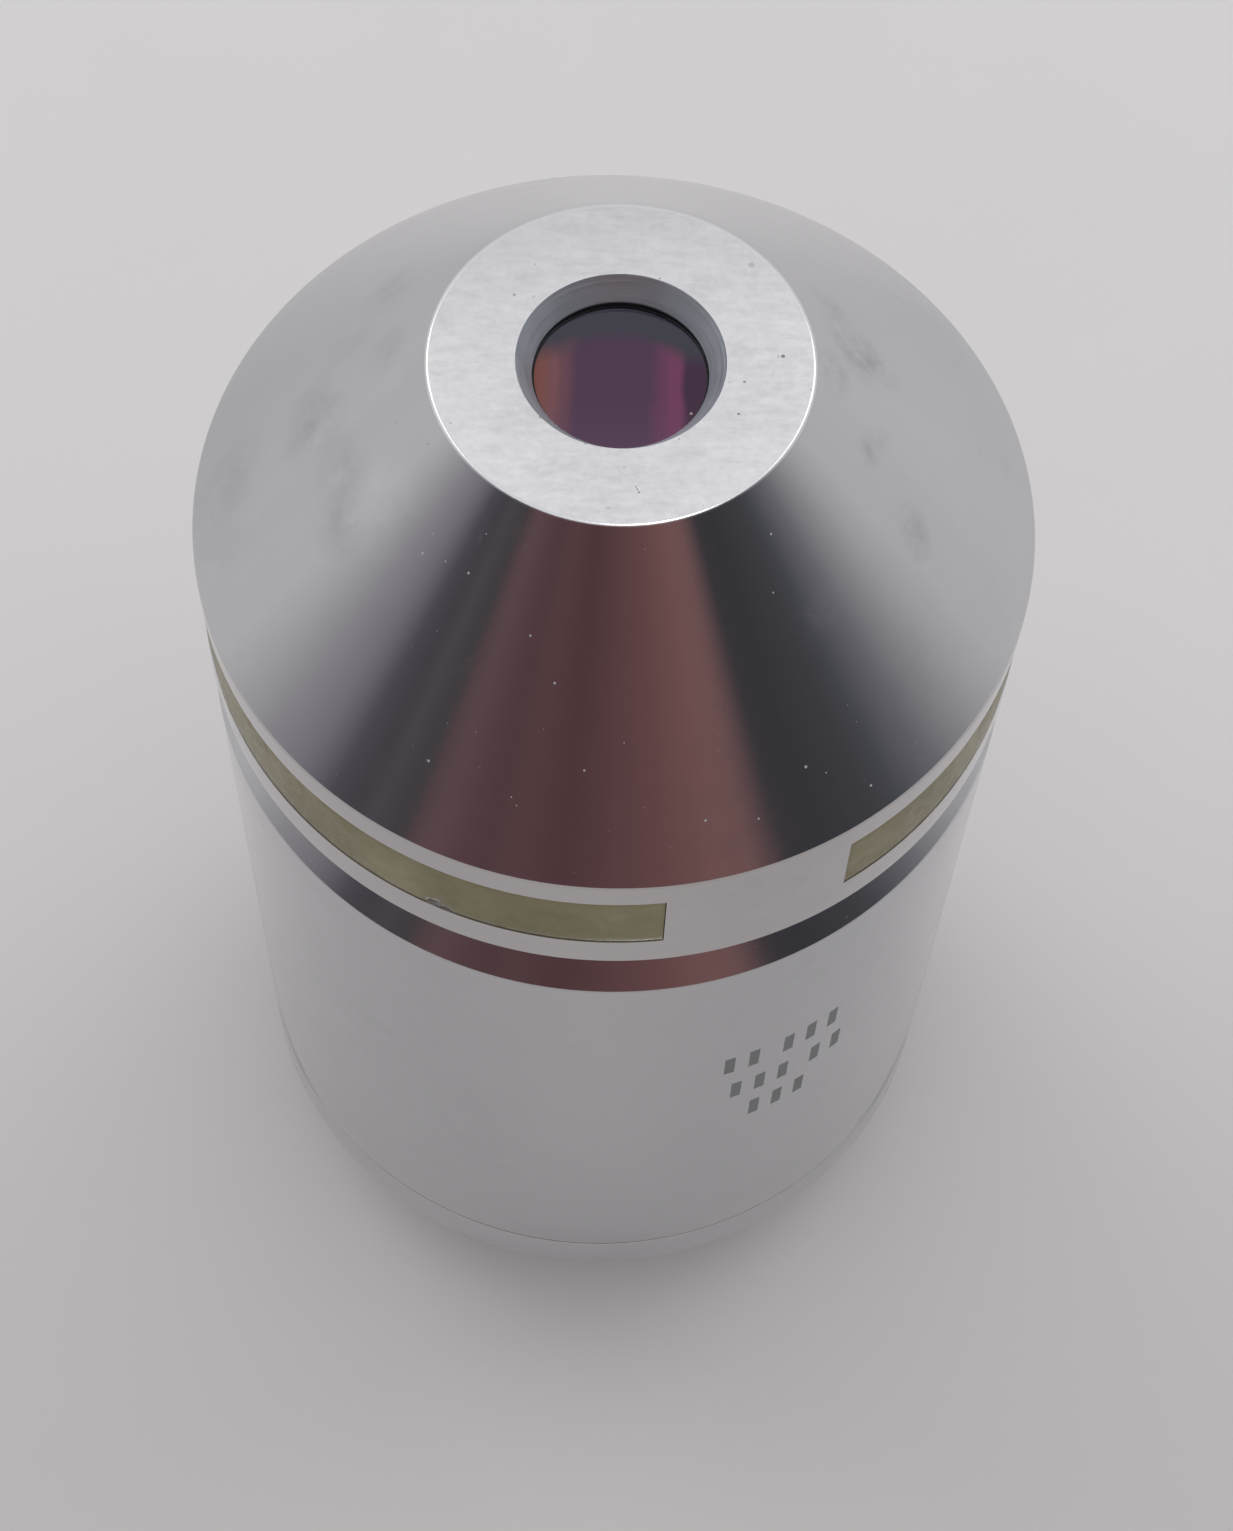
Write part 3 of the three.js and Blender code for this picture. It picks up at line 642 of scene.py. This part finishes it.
# ------------------------------------------------------------------ colour band
def band_piece():
    a0 = math.radians(GAP[1] + EDGE_DEG + 0.01)
    a1 = math.radians(GAP[0] + 360 - EDGE_DEG - 0.01)
    cols = 720
    z0, z1 = Z_BAND0 + 0.003, Z_BAND1 - 0.003
    rows = 26
    chip_a = math.radians(-112.3 + 360)
    chips = [(chip_a, 32.25, 0.34, 0.20), (chip_a + 0.030, 32.18, 0.16, 0.12), (math.radians(215), 34.5, 0.2, 0.08)]
    rnd = random.Random(7)
    verts, chipval = [], []
    for i in range(cols + 1):
        a = a0 + (a1 - a0) * i / cols
        for j in range(rows + 1):
            t = j / rows
            z = z0 + (z1 - z0) * t
            edge = min(t, 1 - t) * (z1 - z0)
            ends = min(a - a0, a1 - a) * R_BODY
            m = min(edge, ends)
            sag = 0.030 * math.exp(-m / 0.10)
            r = 11.985 - sag
            c = 0.0
            for ca, cz, cr, cd in chips:
                d = math.hypot((a - ca) * R_BODY, (z - cz) * 1.25) / cr
                d += 0.18 * math.sin(5 * math.atan2(z - cz, (a - ca) * R_BODY) + ca)
                k = max(0.0, min(1.0, (1.0 - d) / 0.35))
                if k > 0:
                    r -= cd * 0.55 * k
                    c = max(c, k)
            r = max(r, FLOOR + 0.02)
            verts.append((r * math.cos(a) * MM, r * math.sin(a) * MM, z * MM))
            chipval.append(c)
    base = len(verts)
    for i in range(cols + 1):
        a = a0 + (a1 - a0) * i / cols
        for j in (0, rows):
            z = z0 + (z1 - z0) * j / rows
            r = FLOOR + 0.004
            verts.append((r * math.cos(a) * MM, r * math.sin(a) * MM, z * MM))
            chipval.append(0.0)
    faces = []
    W = rows + 1
    for i in range(cols):
        for j in range(rows):
            faces.append((i * W + j, (i + 1) * W + j, (i + 1) * W + j + 1, i * W + j + 1))
        b0, b1 = base + 2 * i, base + 2 * (i + 1)
        faces.append((b0, b0 + 1, b1 + 1, b1))
        faces.append((i * W, b0, b1, (i + 1) * W))
        faces.append((i * W + rows, (i + 1) * W + rows, b1 + 1, b0 + 1))
    faces.append(tuple([j for j in range(W)] + [base + 1, base]))
    e = cols * W
    faces.append(tuple([e + j for j in range(W)][::-1] + [base + 2 * cols, base + 2 * cols + 1]))
    mesh = bpy.data.meshes.new("enamel_band")
    mesh.from_pydata(verts, [], faces)
    bm = bmesh.new()
    bm.from_mesh(mesh)
    bmesh.ops.recalc_face_normals(bm, faces=bm.faces)
    bm.to_mesh(mesh)
    bm.free()
    at = mesh.attributes.new("chip", "FLOAT", "POINT")
    for i, c in enumerate(chipval):
        at.data[i].value = c
    mesh.shade_smooth()
    mesh.set_sharp_from_angle(angle=math.radians(35))
    return link(mesh, "enamel_band")


band = band_piece()
give(band, MAT_ENAMEL)
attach(band, "nose")
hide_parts("colour_band")


# ------------------------------------------------------------------ seat washer
washer = lathe("seat_washer", rounded([
    (9.43, Z_BARREL1 + 0.004, 0.03), (10.83, Z_BARREL1 + 0.004, 0.06), (10.83, SEAT - 0.004, 0.06), (9.43, SEAT - 0.004, 0.03)]), 192)
give(washer, MAT_BRASS)
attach(washer, "seat_washer")
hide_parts("nose_seat_washer")

# ------------------------------------------------------------------ barrel
barrel_profile = rounded([
    (10.46, Z_BARREL0, 0.05), (R_BODY, Z_BARREL0, 0.07), (R_BODY, Z_V_LOW, 0.16), (R_VROOT, Z_BARREL1, 0.05),
    (9.95, Z_BARREL1, 0.05), (9.82, Z_BARREL1 - 0.2, 0.02), (9.82, 22.0, 0.05), (7.9, 22.0, 0.05),
    (7.9, 10.7, 0.05), (10.46, 10.7, 0.05)], steps=6)
barrel = lathe("barrel_shell", subdivide_profile(barrel_profile, 2.0), 288)
give(barrel, MAT_CHROME_BARREL, MAT_INSIDE)
assign_faces(barrel, 1, lambda r, z, nn: r < 10.8 and z < Z_BARREL1 - 0.02)
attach(barrel, "body")
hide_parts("barrel")

# ------------------------------------------------------------------ engraving
# Generic filled ticks where the part has its engraving: no letters or figures.
def tick_piece():
    # height of the row's middle, first angle, steps from tick to tick in mm
    rows = ((21.55, -69.2, (0.0, 0.82, 1.20, 0.82, 0.82)),
            (19.35, -67.6, (0.0, 0.82, 0.82, 1.20, 0.82)),
            (17.25, -64.0, (0.0, 0.82, 0.82)))
    w, h = 0.34, 1.15
    verts, faces = [], []
    steps = 8
    for z0, a0, advances in rows:
        s = math.radians(a0) * R_BODY
        for adv in advances:
            s += adv
            base = len(verts)
            for i in range(steps + 1):
                a = (s - w / 2 + w * i / steps) / R_BODY
                for z in (z0 - h / 2, z0 + h / 2):
                    for r in (R_BODY - 0.05, R_BODY + 0.003):
                        verts.append((r * math.cos(a) * MM, r * math.sin(a) * MM, z * MM))
            for i in range(steps):
                b, c = base + 4 * i, base + 4 * (i + 1)
                faces += [(b, b + 1, c + 1, c), (b + 2, c + 2, c + 3, b + 3), (b + 1, b + 3, c + 3, c + 1), (b, c, c + 2, b + 2)]
            e = base + 4 * steps
            faces += [(base, base + 2, base + 3, base + 1), (e, e + 1, e + 3, e + 2)]
    mesh = bpy.data.meshes.new("engraved_ticks")
    mesh.from_pydata(verts, [], faces)
    bm = bmesh.new()
    bm.from_mesh(mesh)
    bmesh.ops.recalc_face_normals(bm, faces=bm.faces)
    bm.to_mesh(mesh)
    bm.free()
    return link(mesh, "engraved_ticks")


ticks = tick_piece()
give(ticks, MAT_FILL)
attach(ticks, "body")

# ------------------------------------------------------------------ rear mount with its thread
TPI_PITCH = 25.4 / 36
mount_profile = rounded([
    (8.6, 0.2, 0.05), (8.8, 0.0, 0.05), (9.76, 0.0, 0.08), (10.16, 0.4, 0.08),
    (10.16, 4.0, 0.05), (9.5, 4.1, 0.1), (9.5, 4.56, 0.12), (10.35, 4.56, 0.02), (10.35, 4.5, 0.02),
    (11.9, 4.5, 0.1), (R_BODY, 4.6, 0.06),
    (R_BODY, 6.5, 0.07), (10.4, 6.5, 0.05), (10.4, 10.2, 0.05), (10.1, 10.5, 0.05), (8.6, 10.5, 0.05)], steps=5)
mount_profile = with_rows(mount_profile, 10.16, 0.4, 4.0, TPI_PITCH / 16)
rms = thread_radius(10.155, 0.4518, TPI_PITCH, 0.15, 4.05, 0.4)
mount = lathe("thread_mount_shell", mount_profile, 240,
              lambda r, z, flag, a: rms(z, a) if flag == "thread" else r, sharp_deg=24)
give(mount, MAT_CHROME_MOUNT, MAT_INSIDE)
assign_faces(mount, 1, lambda r, z, nn: r < 8.7 and z > 0.3)
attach(mount, "body")
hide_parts("thread_mount")

# ------------------------------------------------------------------ rear baffle with light-trap ridges
ridge = []
z = 1.9
while z < 9.2:
    ridge += [(6.2, z), (6.62, z + 0.12), (6.2, z + 0.42)]
    z += 0.62
baffle_profile = rounded([
    (6.2, 1.2, 0.08), (8.52, 1.2, 0.06), (8.52, 3.2, 0.05), (6.9, 3.2, 0.05), (6.9, 9.6, 0.05), (6.2, 9.6, 0.05)]
    + [(r_, z_, 0.0) for r_, z_ in reversed(ridge)])
baffle = lathe("rear_baffle_tube", baffle_profile, 160)
cut_slots(baffle, [(24, 1.4, 0.7, 1.9, 0)])
give(baffle, MAT_PAINT)
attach(baffle, "body")
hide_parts("rear_baffle")

# ------------------------------------------------------------------ rings and cells that show
stack_ring = lathe("stack_lock_ring_fine", rounded([
    (5.2, 12.6, 0.1), (6.54, 12.6, 0.05), (6.54, 14.4, 0.05), (5.2, 14.4, 0.05)]), 160)
cut_slots(stack_ring, [(18, 1.0, 12.1, 13.3, 90)])
give(stack_ring, MAT_ANOD)
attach(stack_ring, "body")
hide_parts("stack_lock_ring")

rear_ring = lathe("rear_retaining_ring_fine", rounded([
    (4.7, 14.9, 0.1), (5.5, 14.9, 0.05), (5.5, 16.1, 0.05), (4.7, 16.1, 0.05)]), 160)
cut_slots(rear_ring, [(16, 0.9, 14.4, 15.4, 0)])
give(rear_ring, MAT_ANOD)
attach(rear_ring, "body")
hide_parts("rear_retaining_ring")

front_cell = lathe("front_lens_cell_fine", rounded([
    (3.5, 36.2, 0.05), (5.4, 34.6, 0.05), (6.5, 34.6, 0.05), (6.5, 36.6, 0.03), (7.55, 36.6, 0.05), (7.55, 37.5, 0.05),
    (4.15, 37.5, 0.05), (4.15, Z_CELL, 0.12), (R_LIP + 0.03, Z_CELL, 0.01), (R_LIP, Z_CELL - 0.03, 0.01),
    (R_LIP, Z_SEAT_G + 0.03, 0.01), (3.5, Z_SEAT_G + 0.03, 0.02)]), 192)
give(front_cell, MAT_ANOD)
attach(front_cell, "body")
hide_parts("front_lens_cell")


def dome(zv, radius, r, sign, steps=24):
    return [(r * i / steps, zv + sign * (radius - math.sqrt(radius * radius - (r * i / steps) ** 2))) for i in range(steps + 1)]


front_lens = lathe("front_lens", dome(Z_GLASS - 0.8, 6.5, 3.35, -1) + [(3.38, Z_GLASS - 1.72)] +
                   [(3.38, Z_SEAT_G), (2.355, Z_SEAT_G), (2.355, Z_GLASS - 0.10)] +
                   list(reversed(dome(Z_GLASS, 60.0, 2.30, -1))), 192, sharp_deg=24)
give(front_lens, MAT_LENS, MAT_GROUND)
assign_faces(front_lens, 1, lambda r, z, nn: r > 2.301 and z > Z_SEAT_G - 0.01)
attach(front_lens, "body")
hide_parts("front_flint")

rear_lens = lathe("rear_lens", dome(15.4, 14.0, 5.45, 1) + [(5.48, 16.58)] + [(5.48, 16.75)] +
                  list(reversed(dome(18.45, 10.0, 5.45, -1))), 160, sharp_deg=40)
give(rear_lens, MAT_REAR_LENS)
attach(rear_lens, "body")
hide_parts("rear_crown")

# ------------------------------------------------------------------ hidden CAD nodes keep their shape
for name, mat in {
    "parfocal_shim": MAT_BRASS, "lens_sleeve": MAT_BRASS, "sleeve_lock_ring": MAT_BRASS,
    "front_retaining_ring": MAT_ANOD, "rear_lens_cell": MAT_ANOD,
    "spacer_tube": MAT_PAINT, "aperture_stop": MAT_PAINT,
    "front_crown": MAT_GLASS, "rear_flint": MAT_GLASS,
}.items():
    give(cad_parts[name], mat)


# ------------------------------------------------------------------ stage
def floor_material():
    m, nt, bsdf = material("studio_floor")
    n = Nodes(nt)
    x, y, z = n.xyz()
    # Painted shade: the floor is painted darker towards the front (-y).
    painted_near_shade = n.remap(y, -0.045, 0.02)
    col = n.mix(painted_near_shade, (0.522, 0.498, 0.485), (0.70, 0.68, 0.675))
    cloud = n.noise(n.mapped(), 28, 4, 0.6)
    col = n.mix(n.remap(cloud, 0.35, 0.7, 0.0, 0.25), col, (0.62, 0.605, 0.595))
    n.link(col, bsdf.inputs["Base Color"])
    bsdf.inputs["Roughness"].default_value = 0.8
    bsdf.inputs["Specular IOR Level"].default_value = 0.2
    return m


bm = bmesh.new()
bmesh.ops.create_grid(bm, x_segments=24, y_segments=24, size=2.5)
mesh = bpy.data.meshes.new("floor")
bm.to_mesh(mesh)
bm.free()
floor = link(mesh, "floor")
give(floor, floor_material())

world = bpy.data.worlds.new("studio")
scene.world = world
world.use_nodes = True
wn = world.node_tree
wn.nodes.clear()
wout = wn.nodes.new("ShaderNodeOutputWorld")
wbg = wn.nodes.new("ShaderNodeBackground")
wn.links.new(wbg.outputs["Background"], wout.inputs["Surface"])
wbg.inputs["Color"].default_value = (0.96, 0.97, 1.0, 1)
wbg.inputs["Strength"].default_value = 0.80


def srgb(*c):
    return tuple((v / 255 / 12.92) if v <= 10 else ((v / 255 + 0.055) / 1.055) ** 2.4 for v in c)


def card(name, radius, deg0, deg1, z0, z1, stops, divide=0.62, cols=96, turn=1.0):
    """A curved studio card round the object, seen only in reflections. stops are (degrees, sRGB colour)."""
    verts, faces = [], []
    for i in range(cols + 1):
        a = math.radians(deg0 + (deg1 - deg0) * i / cols)
        verts += [(radius * math.cos(a), radius * math.sin(a), z0), (radius * math.cos(a), radius * math.sin(a), z1)]
    for i in range(cols):
        faces.append((2 * i, 2 * i + 1, 2 * i + 3, 2 * i + 2))
    mesh = bpy.data.meshes.new(name)
    mesh.from_pydata(verts, [], faces)
    obj = link(mesh, name)
    m = bpy.data.materials.new(name)
    m.use_nodes = True
    nt = m.node_tree
    nt.nodes.clear()
    out = nt.nodes.new("ShaderNodeOutputMaterial")
    em = nt.nodes.new("ShaderNodeEmission")
    nt.links.new(em.outputs["Emission"], out.inputs["Surface"])
    n = Nodes(nt)
    x, y, z = n.xyz()
    ang = n.math("ARCTAN2", x, n.math("MULTIPLY", y, -turn))       # 0 in front (or behind), positive to the right
    deg = n.remap(n.math("MULTIPLY", ang, 180 / math.pi), -125, 125)
    ramp = n.ramp(deg, [((d + 125) / 250, tuple(v / divide for v in srgb(*c))) for d, c in stops])
    nt.links.new(ramp, em.inputs["Color"])
    give(obj, m)
    obj.visible_camera = False
    obj.visible_diffuse = False
    obj.visible_shadow = False
    obj.visible_transmission = False
    return obj


# dark clothing and arms behind the camera, as a reflection card (degrees from the front, right is positive)
card("reflection_card", 0.60, -215, 35, 0.0, 0.9, [
    (-125, (170, 170, 170)), (-93, (168, 168, 169)), (-87, (159, 158, 159)), (-81, (145, 144, 146)),
    (-75, (130, 128, 132)), (-66, (110, 108, 112)), (-62, (94, 92, 97)), (-58.5, (72, 70, 75)),
    (-52.5, (63, 61, 65)), (-48.5, (71, 69, 72)), (-45.5, (65, 63, 66)), (-42, (62, 59, 61)),
    (-38.5, (84, 66, 68)), (-35, (89, 69, 71)), (-30, (82, 62, 64)), (-24, (77, 57, 59)),
    (-18, (82, 60, 62)), (-8, (75, 53, 55)), (0, (83, 59, 60)), (8, (91, 64, 65)),
    (16, (99, 70, 69)), (25, (108, 78, 77)), (31, (107, 79, 78)), (35.5, (82, 66, 68)),
    (38.5, (54, 52, 55)), (46, (51, 51, 55)), (59, (59, 59, 63)), (64, (66, 67, 71)),
    (74, (98, 98, 103)), (90, (152, 151, 153)), (98, (166, 166, 168)), (125, (170, 170, 170))])
# the same card carried on low behind, so that it has no edge in the sides
card("reflection_card_back", 0.60, 35, 145, 0.0, 0.42, [
    (-125, (170, 170, 170)), (-55, (170, 170, 170)), (0, (168, 168, 170)), (55, (170, 170, 170)), (125, (170, 170, 170))],
    cols=48, turn=-1.0)


def soft_light(name, azimuth, elevation, distance, size, energy, colour):
    data = bpy.data.lights.new(name, "AREA")
    data.shape = "DISK"
    data.size = size
    data.energy = energy
    data.color = colour
    obj = bpy.data.objects.new(name, data)
    scene.collection.objects.link(obj)
    a, e = math.radians(azimuth), math.radians(elevation)
    d = Vector((math.cos(a) * math.cos(e), math.sin(a) * math.cos(e), math.sin(e)))
    obj.location = d * distance
    obj.rotation_mode = "QUATERNION"
    obj.rotation_quaternion = d.to_track_quat("Z", "Y")


# a small soft lamp overhead, seen only as a glint on the bevels
bm = bmesh.new()
bmesh.ops.create_circle(bm, cap_ends=True, segments=48, radius=0.15)
mesh = bpy.data.meshes.new("overhead_glint")
bm.to_mesh(mesh)
bm.free()
glint = link(mesh, "overhead_glint")
glint.location = (0.17, -0.12, 0.95)
gm = bpy.data.materials.new("overhead_glint")
gm.use_nodes = True
gt = gm.node_tree
gt.nodes.clear()
gout = gt.nodes.new("ShaderNodeOutputMaterial")
gem = gt.nodes.new("ShaderNodeEmission")
gt.links.new(gem.outputs["Emission"], gout.inputs["Surface"])
gem.inputs["Strength"].default_value = 6.0
give(glint, gm)
glint.visible_camera = False
glint.visible_diffuse = False
glint.visible_shadow = False
glint.visible_transmission = False

soft_light("soft_key_left", 142, 46, 1.3, 0.7, 2.0, (1.0, 0.985, 0.965))
soft_light("soft_key_right", 38, 46, 1.3, 0.7, 1.7, (1.0, 0.985, 0.965))

# ------------------------------------------------------------------ camera
cam_data = bpy.data.cameras.new("camera")
cam = bpy.data.objects.new("camera", cam_data)
scene.collection.objects.link(cam)
scene.camera = cam
F_PX = 3019.6
cam_data.sensor_width = 36.0
cam_data.lens = 36.0 * F_PX / 1531.0
cam_data.clip_start, cam_data.clip_end = 0.005, 20
H_BACK, H_UP = 3.8787 * 12.0, 6.0638 * 12.0
PITCH, YAW, ROLL = (math.radians(v) for v in (62.24, 0.233, -2.395))
cp, sp = math.cos(PITCH), math.sin(PITCH)
fwd, down, right = Vector((0, cp, -sp)), Vector((0, -sp, -cp)), Vector((1, 0, 0))
f2 = math.cos(YAW) * fwd + math.sin(YAW) * right
r2 = math.cos(YAW) * right - math.sin(YAW) * fwd
r3 = math.cos(ROLL) * r2 + math.sin(ROLL) * down
d3 = -math.sin(ROLL) * r2 + math.cos(ROLL) * down
up, back = -d3, -f2
cam.matrix_world = Matrix((
    (r3.x, up.x, back.x, 0.0),
    (r3.y, up.y, back.y, -H_BACK * MM),
    (r3.z, up.z, back.z, (Z_CONE + H_UP) * MM),
    (0, 0, 0, 1)))
